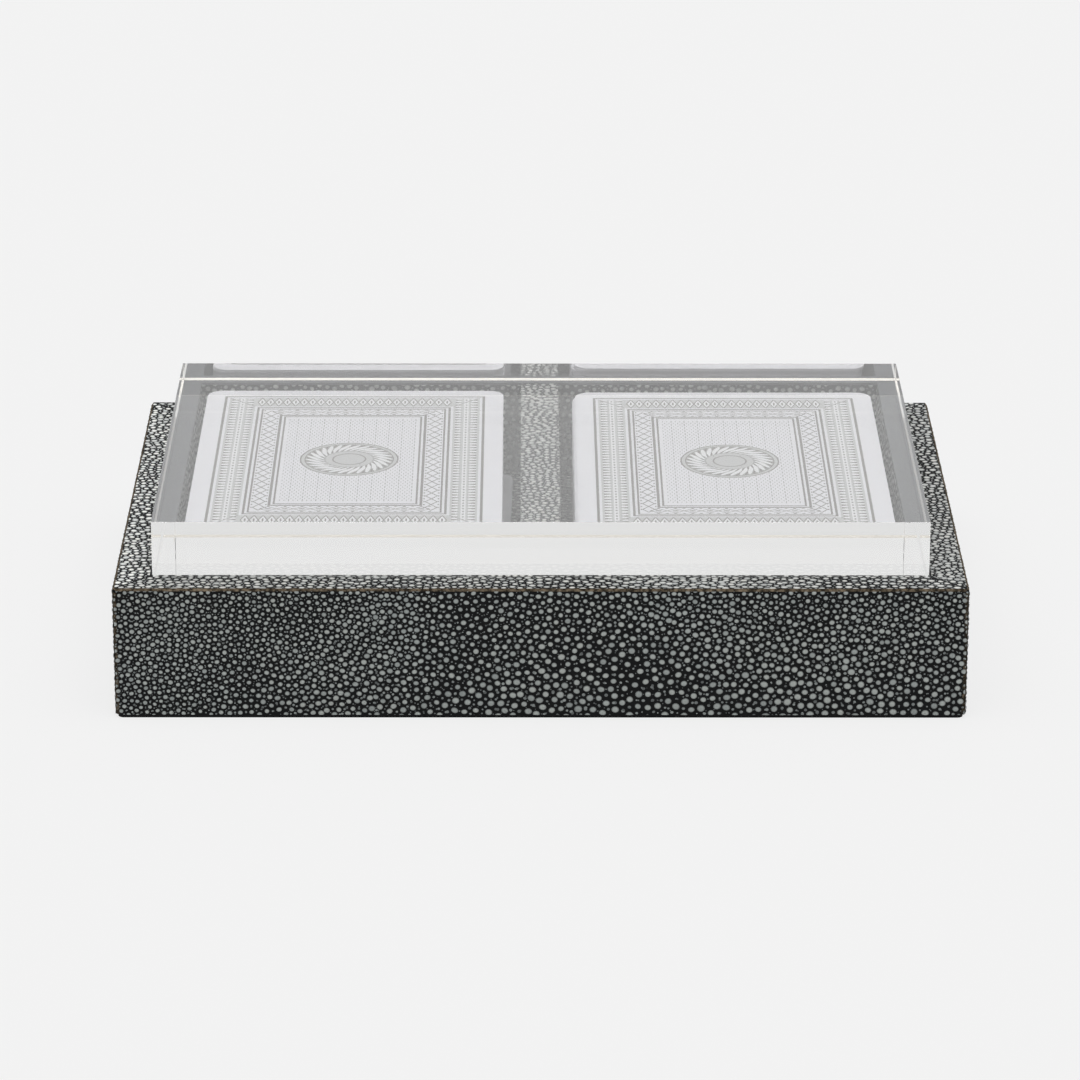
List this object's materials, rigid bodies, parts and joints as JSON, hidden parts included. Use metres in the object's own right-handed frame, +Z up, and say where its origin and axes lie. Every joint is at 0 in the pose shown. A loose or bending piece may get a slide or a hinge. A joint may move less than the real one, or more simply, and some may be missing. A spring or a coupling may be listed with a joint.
{
  "type": "playing card box with decks",
  "caption": "Beaded leather-covered tray box with side-by-side wells, a thick clear drop-in lid and decks of playing cards lying back up in the wells.",
  "frame": {"origin": "middle of the felt under the box, on the surface it stands on", "axes": "+X to the right along the long side, +Y from front to back, +Z up"},
  "size_m": [0.1694, 0.116, 0.0389],
  "materials": {
    "shagreen": "black beaded leather with pale grey polished beads",
    "well_lining": "dark beaded leather lining",
    "ledge_lining": "smooth black leather",
    "board": "plain fibreboard",
    "felt": "black felt",
    "acrylic": "clear polished acrylic with satin bevels",
    "card": "coated white card with a grey printed back"
  },
  "bodies": {
    "box": {"base_felt": "felt", "base_board": "board", "front_wall": "board", "right_wall": "board", "back_wall": "board", "left_wall": "board", "front_rail": "board", "right_rail": "board", "back_rail": "board", "left_rail": "board", "front_cover": "shagreen", "right_cover": "shagreen", "back_cover": "shagreen", "left_cover": "shagreen", "front_rim": "shagreen", "right_rim": "shagreen", "back_rim": "shagreen", "left_rim": "shagreen", "front_ledge": "ledge_lining", "right_ledge": "ledge_lining", "back_ledge": "ledge_lining", "left_ledge": "ledge_lining", "divider": "board", "divider_cap": "shagreen", "left_well_floor": "well_lining", "left_well_front": "well_lining", "left_well_inner": "well_lining", "left_well_back": "well_lining", "left_well_outer": "well_lining", "right_well_floor": "well_lining", "right_well_front": "well_lining", "right_well_inner": "well_lining", "right_well_back": "well_lining", "right_well_outer": "well_lining"},
    "lid": {"lid": "acrylic"},
    "left_deck": {"left_spades": "card", "left_hearts": "card", "left_diamonds": "card", "left_clubs": "card", "left_jokers": "card"},
    "right_deck": {"right_spades": "card", "right_hearts": "card", "right_diamonds": "card", "right_clubs": "card", "right_jokers": "card"}
  },
  "joints": [
    {"name": "lid_lift", "type": "slide", "parent": "box", "child": "lid", "axis": [0, 0, 1], "range_m": [0, 0.12]},
    {"name": "left_deck_lift", "type": "slide", "parent": "box", "child": "left_deck", "axis": [0, 0, 1], "range_m": [0, 0.06]},
    {"name": "right_deck_lift", "type": "slide", "parent": "box", "child": "right_deck", "axis": [0, 0, 1], "range_m": [0, 0.06]}
  ],
  "couplings": [
    {"joint": "left_deck_lift", "follows": "lid_lift", "ratio": 0.5},
    {"joint": "right_deck_lift", "follows": "lid_lift", "ratio": 0.5}
  ]
}
